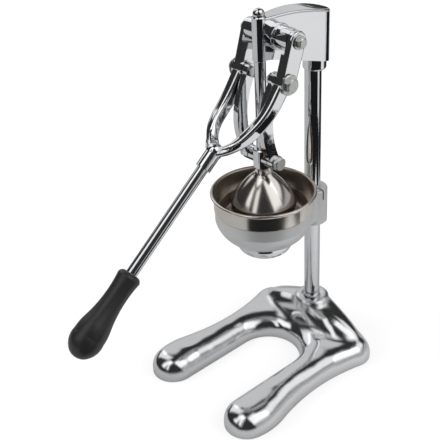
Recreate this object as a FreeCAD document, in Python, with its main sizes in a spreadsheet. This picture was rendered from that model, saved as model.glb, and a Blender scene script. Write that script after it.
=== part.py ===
"""Lever citrus juice press: horseshoe base, post, lever with two links, dome over a strainer bowl.

Millimetres. The plunger's axis is the Z axis, the floor is Z = 0, X is the direction of the pivots,
the handle and the open side of the base point to -Y and the post stands at +Y. The lever is down.
"""
import FreeCAD, Part
import math
import os

import Sketcher
from FreeCAD import Placement, Rotation, Vector

SIZES = {
    # base
    "pad_proud": 0.6,
    "pad_height": 2.2,
    "pad_radius": 8.0,
    "pad_clearance": 0.2,
    "pad_back_half": 68.0,
    "pad_back_offset": 72.0,
    "gap_radius": 38.7,
    "leg_reach": 95.0,
    "leg_width": 52.5,
    "leg_height": 25.5,
    "leg_rounding": 20.2,
    "flank_radius": 80.0,
    "waist_radius": 240.0,
    "waist_width": 42.3,
    "waist_offset": 1.0,
    "corner_radius": 24.0,
    "back_radius": 185.0,
    "back_offset": 113.0,
    "web_sink": 10.0,
    "web_reach": 84.0,
    "web_spread": 9.0,
    "web_saddle": 6.0,
    "web_saddle_reach": 66.0,
    "web_shoulder": 15.0,
    "web_shoulder_reach": 48.0,
    "web_top_drop": 7.0,
    "hub_radius": 20.7,
    "hub_top": 56.6,
    "hub_bottom": 10.6,
    "hub_edge": 3.0,
    # post
    "post_radius": 9.3,
    "post_offset": 77.5,
    "post_seat": 24.0,
    "post_rise": 48.5,
    "post_edge": 1.0,
    "stud_radius": 5.6,
    "stud_clearance": 0.4,
    "stud_length": 19.0,
    "nut_recess_radius": 15.0,
    "nut_recess_top": 13.5,
    "washer_radius": 12.0,
    "washer_height": 2.0,
    "nut_flats": 19.0,
    "nut_height": 7.0,
    "fit": 0.05,
    # head
    "head_bottom": 353.5,
    "head_height": 79.5,
    "head_nose_offset": 2.0,
    "head_nose_radius": 7.6,
    "head_back_radius": 17.0,
    "head_socket_roof": 29.0,
    "head_edge": 2.5,
    "head_skirt_radius": 12.8,
    "head_skirt_shift": 2.2,
    "head_skirt_height": 7.5,
    "head_skirt_edge": 2.5,
    "head_skirt_top": 19.5,
    "belly_rise": 32.5,
    "belly_bend": 6.0,
    "belly_radius": 44.0,
    "crown_flat": 20.0,
    "crown_bend": 66.0,
    "crown_stock": 3.6,
    "crown_fall": 13.0,
    "sleeve_radius": 7.3,
    "sleeve_rise": 31.5,
    "sleeve_length": 45.6,
    "sleeve_edge": 0.8,
    "pivot_offset": 18.7,
    "pivot_rise": 53.8,
    "boss_radius": 12.0,
    "boss_half": 30.0,
    "boss_root_radius": 13.8,
    "boss_root_half": 12.0,
    "boss_root_edge": 1.2,
    "side_gap": 0.3,
    "head_screw_rise": 12.0,
    "head_screw_drop": 14.0,
    "head_screw_sink": 1.5,
    # lever
    "arm_width": 12.5,
    "arm_depth": 17.0,
    "arm_neck_width": 9.5,
    "arm_neck_depth": 12.5,
    "arm_upper_depth": 20.6,
    "arm_corner": 3.6,
    "eye_radius": 11.0,
    "arm_outside": 36.5,
    "eye_edge": 2.2,
    "eye_clear": 2.5,
    "bend_forward": 15.4,
    "bend_drop": 39.3,
    "bend_radius": 10.0,
    "bend_set_back": 1.8,
    "bend_inside": 22.8,
    "neck_forward": 69.3,
    "neck_drop": 60.7,
    "neck_half": 3.0,
    "handle_drop": 38.6,
    "socket_radius": 8.3,
    "socket_length": 21.0,
    "socket_depth": 16.0,
    "rod_radius": 6.0,
    "rod_edge": 0.8,
    "grip_start": 148.0,
    "grip_length": 98.0,
    "grip_shoulder": 12.6,
    "grip_end": 17.0,
    "grip_nose": 5.0,
    "grip_nose_radius": 6.0,
    "grip_hollow_radius": 140.0,
    "grip_swell": 38.0,
    "grip_swell_step": 1.5,
    "grip_swell_radius": 60.0,
    "grip_widest": 24.0,
    "grip_butt_radius": 22.0,
    "grip_cap_height": 4.0,
    "grip_cap_half": 10.5,
    "grip_cap_radius": 14.0,
    "grip_pole": 2.0,
    "grip_bore_depth": 60.0,
    # bolts
    "pivot_bolt_radius": 3.6,
    "pivot_bolt_flats": 10.0,
    "pivot_bolt_head": 5.0,
    "pivot_bolt_depth": 15.0,
    "bolt_hole_end": 1.0,
    "link_bolt_radius": 4.5,
    "link_bolt_flats": 14.0,
    "link_bolt_head": 4.6,
    "flange_height": 2.0,
    "flange_radius": 10.6,
    "bolt_washer_radius": 7.4,
    "bolt_washer_height": 1.2,
    "bolt_washer_edge": 0.3,
    "link_washer_radius": 8.4,
    "flange_edge": 0.5,
    "bolt_chamfer": 1.6,
    "bolt_chamfer_face": 0.6,
    "bolt_chamfer_over": 0.4,
    "shank_edge": 0.6,
    "nut_stand": 1.0,
    "running_clearance": 0.08,
    "link_nut_flats": 11.0,
    "link_nut_height": 3.6,
    "lower_bolt_flats": 13.5,
    "lower_bolt_head": 4.6,
    # links
    "link_inside": 15.5,
    "link_thickness": 7.0,
    "link_width": 12.5,
    "link_eye_radius": 8.2,
    "link_bow": 14.5,
    "link_hollow": 8.0,
    "link_drop": 91.5,
    # plunger
    "plunger_radius": 6.1,
    "plunger_bottom": 243.5,
    "groove_drop": 5.7,
    "groove_depth": 1.4,
    "groove_flank": 1.0,
    "ball_radius": 6.05,
    "ball_rise": 2.1,
    "crosshead_half": 15.2,
    "crosshead_radius": 8.0,
    "crosshead_edge": 0.8,
    "collar_radius": 10.0,
    "collar_half": 11.0,
    "collar_edge": 1.0,
    "cross_screw_radius": 2.0,
    "cross_screw_drop": 5.0,
    "cross_screw_sink": 0.6,
    "cross_screw_gap": 0.1,
    "grub_radius": 2.5,
    # dome
    "dome_neck_radius": 9.5,
    "dome_neck_top": 260.0,
    "dome_radius": 36.0,
    "dome_shoulder": 226.0,
    "dome_bottom": 213.5,
    "dome_wall": 1.8,
    "dome_boss_bottom": 251.0,
    "dome_boss_step": 3.0,
    "dome_boss_fall": 2.5,
    "dome_inside_radius": 90.0,
    "dome_outside_radius": 95.0,
    "dome_inside_drop": 2.0,
    "dome_neck_flare": 2.0,
    "dome_neck_foot": 4.0,
    "dome_neck_head": 2.0,
    "dome_neck_edge": 1.0,
    "cone_nut_rise": 1.5,
    "cone_nut_flats": 15.0,
    # bowl
    "rim_radius": 58.6,
    "rim_height": 236.3,
    "lip_radius": 1.7,
    "lip_root": 1.0,
    "lip_roll": 3.0,
    "lip_hem": 4.08,
    "band_radius": 55.2,
    "band_bottom": 215.4,
    "band_edge": 1.0,
    "bowl_wall": 1.2,
    "well_radius": 50.0,
    "well_bottom": 200.0,
    "well_corner": 8.0,
    "drain_radius": 22.0,
    "reamer_radius": 31.0,
    "reamer_top": 238.5,
    "reamer_wall": 1.4,
    "reamer_foot": 5.0,
    "reamer_foot_bore": 7.0,
    "reamer_point": 5.0,
    "reamer_point_drop": 2.5,
    "reamer_point_radius": 6.0,
    "reamer_inside_drop": 5.0,
    "reamer_crown": 2.24,
    "reamer_tip": 1.0,
    "reamer_slots": 12.0,
    "slot_half": 1.4,
    "slot_inner": 13.0,
    "slot_outer": 6.0,
    "slot_rise": 2.5,
    "slot_height": 24.0,
    # holder
    "holder_radius": 54.4,
    "holder_wall": 3.6,
    "holder_bottom": 178.0,
    "holder_mouth": 32.0,
    "holder_turn_radius": 38.0,
    "holder_straight": 13.0,
    "holder_inside_radius": 44.0,
    "holder_inside_straight": 8.0,
    "holder_floor": 5.0,
    "holder_ledge": 3.0,
    "well_room": 0.8,
    "flange_room": 0.6,
    "holder_sleeve_radius": 17.3,
    "holder_sleeve_top": 209.5,
    "holder_sleeve_bottom": 166.0,
    "holder_arm_half": 15.5,
    "holder_arm_bottom": 172.0,
    "holder_arm_drop": 3.0,
    "holder_arm_start": 42.0,
    "holder_sleeve_edge": 2.0,
    "holder_screw_rise": 16.0,
    "holder_screw_sink": 1.0,
    "slit_width": 2.2,
    "slit_depth": 12.0,
    "funnel_flange": 36.0,
    "funnel_wall": 1.2,
    "funnel_bottom": 160.5,
    "funnel_spout": 13.0,
    "funnel_room": 0.4,
    "funnel_turn": 12.0,
    "funnel_turn_inside": 11.0,
    "funnel_cone_width": 6.0,
    "funnel_cone_rise": 2.0,
}

doc = FreeCAD.newDocument("CitrusPress")
sheet = doc.addObject("Spreadsheet::Sheet", "dims")
for row, (alias, number) in enumerate(SIZES.items(), 1):
    sheet.set(f"A{row}", alias)
    sheet.set(f"B{row}", str(number))
    sheet.setAlias(f"B{row}", alias)
doc.recompute()


class Size:
    """A length that carries its number and the sheet expression behind it."""

    def __init__(self, value, text):
        self.value = value
        self.text = text

    @staticmethod
    def of(other):
        if isinstance(other, Size):
            return other
        return Size(float(other), repr(float(other)))

    def joined(self, other, sign, value):
        return Size(value, f"({self.text} {sign} {other.text})")

    def __add__(self, other):
        other = Size.of(other)
        return self.joined(other, "+", self.value + other.value)

    def __radd__(self, other):
        return Size.of(other) + self

    def __sub__(self, other):
        other = Size.of(other)
        return self.joined(other, "-", self.value - other.value)

    def __rsub__(self, other):
        return Size.of(other) - self

    def __mul__(self, other):
        other = Size.of(other)
        return self.joined(other, "*", self.value * other.value)

    def __rmul__(self, other):
        return Size.of(other) * self

    def __truediv__(self, other):
        other = Size.of(other)
        return self.joined(other, "/", self.value / other.value)

    def __neg__(self):
        return Size.of(0) - self


def sine(size):
    """Sine of an angle in degrees."""
    return Size(math.sin(math.radians(size.value)), f"sin({size.text})")


def tangent(size):
    """Tangent of an angle in degrees."""
    return Size(math.tan(math.radians(size.value)), f"tan({size.text})")


def dim(alias):
    """The named cell of the sheet."""
    return Size(float(sheet.get(alias)), f"dims.{alias}")


nodes = {}

# How far a cut runs on past the metal that it goes through.
PAST = Size.of(5)


def bind(obj, prop, size):
    obj.setExpression(prop, Size.of(size).text)


def keep(obj, label):
    """Name the finished sub-part after its node."""
    obj.Label = label
    nodes[label] = obj
    return obj


def new_body(label):
    return keep(doc.addObject("PartDesign::Body", label), label)


def origin_plane(body, role):
    return next(item for item in body.Origin.OriginFeatures if item.Role == role)


def new_sketch(body, name, role, lift=0):
    """A sketch on an origin plane of its own body, lifted along the plane's normal."""
    sketch = body.newObject("Sketcher::SketchObject", name)
    sketch.AttachmentSupport = (origin_plane(body, role), [""])
    sketch.MapMode = "FlatFace"
    bind(sketch, "AttachmentOffset.Base.z", lift)
    return sketch


def lock(sketch, geo, pos, spot):
    """Hold a point at coordinates taken from the sheet."""
    for axis, kind, size in ((-2, "DistanceX", spot[0]), (-1, "DistanceY", spot[1])):
        size = Size.of(size)
        if size.value == 0 and "dims" not in size.text:
            sketch.addConstraint(Sketcher.Constraint("PointOnObject", geo, pos, axis))
            continue
        index = sketch.addConstraint(Sketcher.Constraint(kind, -1, 1, geo, pos, size.value))
        sketch.setExpression(f"Constraints[{index}]", size.text)


def spot_vector(corner):
    return Vector(Size.of(corner[0]).value, Size.of(corner[1]).value, 0)


def arc_edge(start, end, radius):
    """The short arc from start to end; a positive radius turns left."""
    chord = end - start
    half = chord.Length / 2
    rise = math.sqrt(max(radius * radius - half * half, 0))
    left = Vector(-chord.y, chord.x, 0).normalize()
    side = 1 if radius > 0 else -1
    centre = (start + end) * 0.5 + left * (rise * side)
    circle = Part.Circle(centre, Vector(0, 0, 1), abs(radius))
    first, last = (start, end) if radius > 0 else (end, start)
    angles = [math.atan2(p.y - centre.y, p.x - centre.x) for p in (first, last)]
    return Part.ArcOfCircle(circle, angles[0], angles[1])


def draw_loop(sketch, corners):
    """Close a loop of lines and arcs; a corner (x, y, r) starts an arc of radius r."""
    ends = []
    for index, corner in enumerate(corners):
        start = spot_vector(corner)
        end = spot_vector(corners[(index + 1) % len(corners)])
        if len(corner) == 3:
            radius = Size.of(corner[2])
            geo = sketch.addGeometry(arc_edge(start, end, radius.value), False)
            bent = sketch.addConstraint(Sketcher.Constraint("Radius", geo, abs(radius.value)))
            sketch.setExpression(f"Constraints[{bent}]", f"abs({radius.text})")
            ends.append((geo, 1, 2) if radius.value > 0 else (geo, 2, 1))
        else:
            geo = sketch.addGeometry(Part.LineSegment(start, end), False)
            ends.append((geo, 1, 2))
    for index, corner in enumerate(corners):
        geo, start_pos, _ = ends[index]
        before, _, end_pos = ends[index - 1]
        sketch.addConstraint(Sketcher.Constraint("Coincident", before, end_pos, geo, start_pos))
        lock(sketch, geo, start_pos, corner)


def draw_circle(sketch, spot, radius):
    radius = Size.of(radius)
    circle = Part.Circle(spot_vector(spot), Vector(0, 0, 1), radius.value)
    geo = sketch.addGeometry(circle, False)
    index = sketch.addConstraint(Sketcher.Constraint("Radius", geo, radius.value))
    sketch.setExpression(f"Constraints[{index}]", radius.text)
    if spot == (0, 0):
        sketch.addConstraint(Sketcher.Constraint("Coincident", geo, 3, -1, 1))
    else:
        lock(sketch, geo, 3, spot)


def draw_hexagon(sketch, flats):
    """A hexagon round the origin with its points on the sketch's vertical axis."""
    reach = flats / math.sqrt(3)
    side = flats / 2
    draw_loop(sketch, [(0, reach), (-side, reach / 2), (-side, -reach / 2),
                       (0, -reach), (side, -reach / 2), (side, reach / 2)])


def turn(body, name, role, axis, corners, cut=False):
    """Revolve a profile round one axis of its sketch, as a solid or as a groove."""
    sketch = new_sketch(body, name + "Profile", role)
    draw_loop(sketch, corners)
    kind = "PartDesign::Groove" if cut else "PartDesign::Revolution"
    feature = body.newObject(kind, name)
    feature.Profile = sketch
    feature.ReferenceAxis = (sketch, [axis])
    feature.Angle = 360
    sketch.Visibility = False
    return feature


def extrude(body, name, role, draw, length, lift=0, cut=False, reverse=False, middle=False):
    """Pad or pocket a sketch that the given function draws."""
    sketch = new_sketch(body, name + "Sketch", role, lift)
    draw(sketch)
    feature = body.newObject("PartDesign::Pocket" if cut else "PartDesign::Pad", name)
    feature.Profile = sketch
    bind(feature, "Length", length)
    feature.Reversed = reverse
    if middle:
        feature.SideType = "Symmetric"
    sketch.Visibility = False
    return feature


def place(obj, y=0, z=0):
    """Put a sub-part's own origin at a height and a distance behind the plunger."""
    bind(obj, "Placement.Base.y", y)
    bind(obj, "Placement.Base.z", z)


def mirrored_pair(label, right):
    """Two equal pieces, one on each side of the plane X = 0."""
    nodes.pop(right.Label, None)
    right.Label = label + "_right"
    left = doc.addObject("Part::Mirroring", label + "_left")
    left.Source = right
    left.Normal = Vector(1, 0, 0)
    left.Base = Vector(0, 0, 0)
    pair = doc.addObject("Part::Compound", label)
    pair.Links = [right, left]
    return keep(pair, label)


def shape_node(label, shape):
    feature = doc.addObject("Part::Feature", label)
    feature.Shape = shape
    feature.Placement = Placement()
    return keep(feature, label)


# Heights that follow the head: the pivot, the guide sleeve and the end of the post in its socket.
pivot_z = dim("head_bottom") + dim("pivot_rise")
sleeve_low = dim("head_bottom") + dim("sleeve_rise")
sleeve_high = sleeve_low + dim("sleeve_length")
post_high = dim("head_bottom") + dim("post_rise")

# Base: a horseshoe casting with fat rounded legs, a raised web and the post's hub.
post_y = dim("post_offset")
base_floor = dim("pad_proud")
base = new_body("base")
gap_r = dim("gap_radius")
tip_r = dim("leg_width") / 2
leg_y = -dim("leg_reach")
UP = Vector(0, 0, 1)


def meeting_point(one, one_radius, two, two_radius, side):
    """Where two circles meet, on the left (1) or the right (-1) of the line from one to two."""
    line = two - one
    along = (one_radius ** 2 - two_radius ** 2 + line.Length ** 2) / (2 * line.Length)
    rise = math.sqrt(one_radius ** 2 - along ** 2)
    line.normalize()
    return one + line * along + Vector(-line.y, line.x, 0) * (side * rise)


def heading(start, end):
    return math.atan2(end.y - start.y, end.x - start.x)


def draw_half_horseshoe(sketch):
    """The right half of the plan: arcs that run into each other, closed along the Y axis."""
    flank_r = dim("flank_radius")
    waist_r = dim("waist_radius")
    corner_r = dim("corner_radius")
    back_r = dim("back_radius")
    waist_x = gap_r + dim("waist_width") + waist_r
    waist_y = dim("waist_offset")
    back_y = dim("back_offset") - back_r
    tip = Vector((gap_r + tip_r).value, leg_y.value, 0)
    waist = Vector(waist_x.value, waist_y.value, 0)
    back = Vector(0, back_y.value, 0)
    flank = meeting_point(tip, flank_r.value - tip_r.value, waist, flank_r.value + waist_r.value, 1)
    corner = meeting_point(back, back_r.value - corner_r.value, waist, corner_r.value + waist_r.value, 1)

    def arc(centre, radius, first, last):
        circle = Part.Circle(centre, UP, radius.value)
        geo = sketch.addGeometry(Part.ArcOfCircle(circle, first, last), False)
        index = sketch.addConstraint(Sketcher.Constraint("Radius", geo, radius.value))
        sketch.setExpression(f"Constraints[{index}]", radius.text)
        return geo

    quarter = math.pi / 2
    inner = arc(Vector(), gap_r, 0, quarter)
    inner_line = sketch.addGeometry(Part.LineSegment(
        Vector(gap_r.value, leg_y.value, 0), Vector(gap_r.value, 0, 0)), False)
    toe = arc(tip, tip_r, math.pi, 2 * math.pi + heading(flank, tip))
    side = arc(flank, flank_r, heading(flank, tip), heading(flank, waist))
    hollow = arc(waist, waist_r, heading(waist, corner), 2 * math.pi + heading(waist, flank))
    heel = arc(corner, corner_r, heading(corner, waist), heading(back, corner))
    rear = arc(back, back_r, heading(back, corner), quarter)
    middle = sketch.addGeometry(Part.LineSegment(
        Vector(0, dim("back_offset").value, 0), Vector(0, gap_r.value, 0)), False)
    joins = ((inner_line, 2, inner, 1), (inner_line, 1, toe, 1), (toe, 2, side, 1), (side, 2, hollow, 2),
             (hollow, 1, heel, 1), (heel, 2, rear, 1))
    for one, pos, two, other in joins:
        sketch.addConstraint(Sketcher.Constraint("Tangent", one, pos, two, other))
    sketch.addConstraint(Sketcher.Constraint("Coincident", inner, 3, -1, 1))
    sketch.addConstraint(Sketcher.Constraint("Coincident", middle, 1, rear, 2))
    sketch.addConstraint(Sketcher.Constraint("Coincident", middle, 2, inner, 2))
    sketch.addConstraint(Sketcher.Constraint("PointOnObject", middle, 1, -2))
    sketch.addConstraint(Sketcher.Constraint("PointOnObject", middle, 2, -2))
    lock(sketch, hollow, 3, (waist_x, waist_y))
    lock(sketch, rear, 3, (0, back_y))
    index = sketch.addConstraint(Sketcher.Constraint("DistanceY", -1, 1, toe, 3, leg_y.value))
    sketch.setExpression(f"Constraints[{index}]", leg_y.text)


half_base = extrude(base, "HalfHorseshoe", "XY_Plane", draw_half_horseshoe, dim("leg_height"), lift=base_floor)
whole_base = base.newObject("PartDesign::Mirrored", "Horseshoe")
whole_base.Originals = [half_base]
whole_base.MirrorPlane = (origin_plane(base, "YZ_Plane"), [""])
base.Tip = whole_base
doc.recompute()
leg_top = (base_floor + dim("leg_height")).value


def edge_names(feature, test):
    """Names of the feature's edges that pass the test."""
    return [f"Edge{index}" for index, edge in enumerate(feature.Shape.Edges, 1) if test(edge)]


def round_edges(body, name, test, radius):
    base_feature = body.Tip
    feature = body.newObject("PartDesign::Fillet", name)
    feature.Base = (base_feature, edge_names(base_feature, test))
    bind(feature, "Radius", radius)
    doc.recompute()
    return feature


round_edges(base, "LegCrown", lambda e: e.BoundBox.ZMin > leg_top - 0.01, dim("leg_rounding"))


def web_section(name, height, long, wide):
    """An ellipse round the post, long across the base, at one height of the web."""
    sketch = new_sketch(base, name, "XY_Plane", height)
    centre = Vector(0, post_y.value, 0)
    ellipse = Part.Ellipse(centre + Vector(long.value, 0, 0), centre + Vector(0, wide.value, 0), centre)
    geo = sketch.addGeometry(ellipse, False)
    sketch.exposeInternalGeometry(geo)
    lock(sketch, geo, 3, (0, post_y))
    major, minor = geo + 1, geo + 2
    sketch.addConstraint(Sketcher.Constraint("Horizontal", major))
    for line, size in ((major, long), (minor, wide)):
        index = sketch.addConstraint(Sketcher.Constraint("Distance", line, 2 * size.value))
        sketch.setExpression(f"Constraints[{index}]", f"2 * {size.text}")
    sketch.Visibility = False
    return sketch


hub_r = dim("hub_radius")
web_floor = base_floor + dim("leg_height")
web_spread = dim("web_spread")
web_sections = [
    web_section("WebFoot", web_floor - dim("web_sink"), dim("web_reach"), hub_r + web_spread),
    web_section("WebSaddle", web_floor + dim("web_saddle"), dim("web_saddle_reach"), hub_r + web_spread / 2),
    web_section("WebShoulder", web_floor + dim("web_shoulder"), dim("web_shoulder_reach"), hub_r + web_spread / 5),
    web_section("WebTop", dim("hub_top") - dim("web_top_drop"), hub_r + dim("fit"), hub_r - dim("fit")),
]
web = base.newObject("PartDesign::AdditiveLoft", "Web")
web.Profile = web_sections[0]
web.Sections = web_sections[1:]


def axis_circle(y, radius):
    def draw(sketch):
        draw_circle(sketch, (0, y), radius)
    return draw


extrude(base, "Hub", "XY_Plane", axis_circle(post_y, hub_r), dim("hub_top") - dim("hub_bottom"), lift=dim("hub_bottom"))
doc.recompute()
hub_rim = dim("hub_top").value
round_edges(base, "HubEdge", lambda e: abs(e.BoundBox.ZMin - hub_rim) < 0.01, dim("hub_edge"))
deep = dim("hub_top") + PAST
extrude(base, "PostBore", "XY_Plane", axis_circle(post_y, dim("post_radius") + dim("fit")), deep,
        lift=dim("post_seat"), cut=True, reverse=True)
extrude(base, "StudHole", "XY_Plane", axis_circle(post_y, dim("stud_radius") + dim("stud_clearance")), deep,
        cut=True, reverse=True)
extrude(base, "NutRecess", "XY_Plane", axis_circle(post_y, dim("nut_recess_radius")), dim("nut_recess_top"),
        cut=True, reverse=True)


def draw_pads(radius):
    """Circles under the leg tips and the back corners."""
    def draw(sketch):
        heel_x = dim("pad_back_half")
        for x, y in ((gap_r + tip_r, leg_y), (heel_x, dim("pad_back_offset"))):
            draw_circle(sketch, (x, y), radius)
            draw_circle(sketch, (-x, y), radius)
    return draw


extrude(base, "PadSeats", "XY_Plane", draw_pads(dim("pad_radius") + dim("pad_clearance")), dim("pad_height"),
        cut=True, reverse=True)
foot_pads = new_body("foot_pads")
foot_pads.AllowCompound = True
extrude(foot_pads, "Pads", "XY_Plane", draw_pads(dim("pad_radius")), dim("pad_height"))

# Post: a bright bar with a threaded stud through the base.
post = new_body("post")
place(post, y=post_y)
seat = dim("post_seat")
stud_end = seat - dim("stud_length")
post_edge = dim("post_edge")
turn(post, "Bar", "XZ_Plane", "V_Axis", [
    (0, stud_end), (dim("stud_radius"), stud_end), (dim("stud_radius"), seat), (dim("post_radius"), seat),
    (dim("post_radius"), post_high - post_edge), (dim("post_radius") - post_edge, post_high),
    (0, post_high)])

# Washer and nut in the recess under the base.
recess_top = dim("nut_recess_top")
post_washer = new_body("post_washer")
place(post_washer, y=post_y, z=recess_top - dim("washer_height"))


def draw_ring(outer, inner):
    def draw(sketch):
        draw_circle(sketch, (0, 0), outer)
        draw_circle(sketch, (0, 0), inner)
    return draw


extrude(post_washer, "Ring", "XY_Plane",
        draw_ring(dim("washer_radius"), dim("stud_radius") + dim("fit")), dim("washer_height"))
post_nut = new_body("post_nut")
place(post_nut, y=post_y, z=recess_top - dim("washer_height") - dim("nut_height"))


def draw_nut(flats, bore):
    def draw(sketch):
        draw_hexagon(sketch, flats)
        draw_circle(sketch, (0, 0), bore)
    return draw


extrude(post_nut, "Nut", "XY_Plane", draw_nut(dim("nut_flats"), dim("stud_radius") + dim("fit")), dim("nut_height"))

# Head: a casting that tapers in plan from the post to its nose, crowned on top, with cross bosses.
head = new_body("head")


def draw_head_plan(sketch):
    """Two arcs, at the nose and round the post, joined by lines tangent to both."""
    nose = dim("head_nose_offset")
    nose_r = dim("head_nose_radius")
    back_r = dim("head_back_radius")
    lean = math.asin((back_r.value - nose_r.value) / (post_y.value - nose.value))
    side = Vector(math.cos(lean), -math.sin(lean), 0)
    nose_spot = Vector(0, nose.value, 0)
    back_spot = Vector(0, post_y.value, 0)
    up = Vector(0, 0, 1)
    front = sketch.addGeometry(Part.ArcOfCircle(
        Part.Circle(nose_spot, up, nose_r.value), math.pi + lean, 2 * math.pi - lean), False)
    right = sketch.addGeometry(Part.LineSegment(
        nose_spot + side * nose_r.value, back_spot + side * back_r.value), False)
    back = sketch.addGeometry(Part.ArcOfCircle(
        Part.Circle(back_spot, up, back_r.value), -lean, math.pi + lean), False)
    mirror = Vector(-side.x, side.y, 0)
    left = sketch.addGeometry(Part.LineSegment(
        back_spot + mirror * back_r.value, nose_spot + mirror * nose_r.value), False)
    for one, pos, two, other in ((front, 2, right, 1), (right, 2, back, 1), (back, 2, left, 1), (left, 2, front, 1)):
        sketch.addConstraint(Sketcher.Constraint("Tangent", one, pos, two, other))
    for arc, radius, spot in ((front, nose_r, nose), (back, back_r, post_y)):
        index = sketch.addConstraint(Sketcher.Constraint("Radius", arc, radius.value))
        sketch.setExpression(f"Constraints[{index}]", radius.text)
        lock(sketch, arc, 3, (0, spot))


head_low = dim("head_bottom") + dim("head_skirt_height")
head_top = dim("head_bottom") + dim("head_height")
extrude(head, "Plan", "XY_Plane", draw_head_plan, head_top - head_low, lift=head_low)


head_rear = post_y + dim("head_back_radius")
beyond = dim("head_back_radius") + dim("head_nose_radius")
crown_front = head_top - dim("crown_stock")
crown_middle = crown_front - (dim("crown_bend") - dim("crown_flat")) * tangent(dim("crown_fall") / 2)
crown_back = crown_middle - (head_rear - dim("crown_bend")) * tangent(dim("crown_fall"))


def draw_above_crown(sketch):
    """Everything above the top, seen from the side: level over the nose, then falling to the back."""
    far = head_rear + beyond
    over = head_top + beyond
    turning = (dim("crown_bend") - dim("crown_flat")) / sine(dim("crown_fall"))
    draw_loop(sketch, [
        (-beyond, over), (-beyond, crown_front), (dim("crown_flat"), crown_front, -turning),
        (dim("crown_bend"), crown_middle), (far, crown_back - beyond * tangent(dim("crown_fall"))), (far, over)])


def draw_below_belly(sketch):
    """Everything under the head: level below the nose, then falling in a line to the back."""
    turning = dim("belly_bend") / 2
    nose_low = dim("head_bottom") + dim("belly_rise")
    under = dim("head_bottom") - beyond
    fall = (nose_low - head_low) / (head_rear - dim("belly_bend"))
    draw_loop(sketch, [
        (-beyond, under), (head_rear + beyond, under), (head_rear + beyond, head_low - fall * beyond),
        (dim("belly_bend") + turning, nose_low - fall * turning, dim("belly_radius")),
        (dim("belly_bend") - turning, nose_low), (-beyond, nose_low)])


wide = 4 * beyond
extrude(head, "CrownCut", "YZ_Plane", draw_above_crown, wide, cut=True, middle=True)
extrude(head, "BellyCut", "YZ_Plane", draw_below_belly, wide, cut=True, middle=True)
doc.recompute()


crown_low = (crown_back - dim("head_edge")).value
round_edges(head, "CrownEdge", lambda e: e.BoundBox.ZMin > crown_low and e.BoundBox.YLength > 2, dim("head_edge"))
skirt_y = post_y + dim("head_skirt_shift")
extrude(head, "Skirt", "XY_Plane", axis_circle(skirt_y, dim("head_skirt_radius")),
        dim("head_skirt_top"), lift=dim("head_bottom"))
doc.recompute()
skirt_low = dim("head_bottom").value
round_edges(head, "SkirtEdge", lambda e: e.BoundBox.ZMax < skirt_low + 0.01, dim("head_skirt_edge"))


def pivot_circle(radius):
    def draw(sketch):
        draw_circle(sketch, (dim("pivot_offset"), pivot_z), radius)
    return draw


extrude(head, "BossRoots", "YZ_Plane", pivot_circle(dim("boss_root_radius")), 2 * dim("boss_root_half"), middle=True)
doc.recompute()
root_face = dim("boss_root_half").value
round_edges(head, "BossRootEdge",
            lambda e: e.BoundBox.XLength < 0.01 and abs(abs(e.BoundBox.XMin) - root_face) < 0.01, dim("boss_root_edge"))
extrude(head, "Bosses", "YZ_Plane", pivot_circle(dim("boss_radius")), 2 * dim("boss_half"), middle=True)


socket_top = head_top - dim("head_socket_roof")
extrude(head, "PostSocket", "XY_Plane", axis_circle(post_y, dim("post_radius") + dim("fit")),
        socket_top - dim("head_bottom") + beyond, lift=dim("head_bottom") - beyond, cut=True, reverse=True)
guide_hole = dim("sleeve_radius") + dim("fit")
extrude(head, "GuideHole", "XY_Plane", axis_circle(Size.of(0), guide_hole), dim("head_height") + 2 * beyond,
        lift=dim("head_bottom") - beyond, cut=True, reverse=True)
bolt_reach = dim("pivot_bolt_depth")
for side in (1, -1):
    inner_end = side * (dim("boss_half") - bolt_reach - dim("bolt_hole_end"))
    extrude(head, "BoltHole" + ("Right" if side > 0 else "Left"), "YZ_Plane",
            pivot_circle(dim("pivot_bolt_radius") + dim("fit")), bolt_reach + PAST,
            lift=inner_end, cut=True, reverse=side > 0)
grub = dim("grub_radius")
screw_low = dim("head_bottom") + dim("head_screw_rise")
screw_high = socket_top - dim("head_screw_drop")


def draw_two_screws(radius):
    def draw(sketch):
        draw_circle(sketch, (0, screw_low), radius)
        draw_circle(sketch, (0, screw_high), radius)
    return draw


extrude(head, "ScrewHoles", "XZ_Plane", draw_two_screws(grub + dim("fit")), dim("head_back_radius") + PAST,
        lift=-post_y, cut=True)

# Two socket grub screws lock the head on the post.
head_screws = new_body("head_set_screws")
head_screws.AllowCompound = True
screw_length = dim("head_back_radius") - dim("post_radius") - dim("head_screw_sink")
extrude(head_screws, "Screws", "XZ_Plane", draw_two_screws(grub), screw_length,
        lift=-(post_y + dim("post_radius") + dim("fit")), reverse=True)

# Guide sleeve: the bright tube in the nose that the plunger runs in.
guide_sleeve = new_body("guide_sleeve")
bore = dim("plunger_radius") + dim("running_clearance")
sleeve_r = dim("sleeve_radius")
sleeve_edge = dim("sleeve_edge")
turn(guide_sleeve, "Tube", "XZ_Plane", "V_Axis", [
    (bore, sleeve_low), (sleeve_r - sleeve_edge, sleeve_low), (sleeve_r, sleeve_low + sleeve_edge),
    (sleeve_r, sleeve_high - sleeve_edge), (sleeve_r - sleeve_edge, sleeve_high), (bore, sleeve_high)])

# Bowl holder: a cast cup on an arm, with a slit sleeve on the post.
holder = new_body("bowl_holder")
cup_r = dim("holder_radius")
cup_top = dim("band_bottom") - dim("fit")
cup_low = dim("holder_bottom")
mouth = dim("holder_mouth")
wall = dim("holder_wall")
turn(holder, "Cup", "XZ_Plane", "V_Axis", [
    (0, cup_low), (mouth + wall, cup_low, dim("holder_turn_radius")), (cup_r, cup_top - dim("holder_straight")),
    (cup_r, cup_top), (0, cup_top)])


def draw_arm(sketch):
    half = dim("holder_arm_half")
    start = dim("holder_arm_start")
    draw_loop(sketch, [(-half, start), (half, start), (half, post_y), (-half, post_y)])


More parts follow.
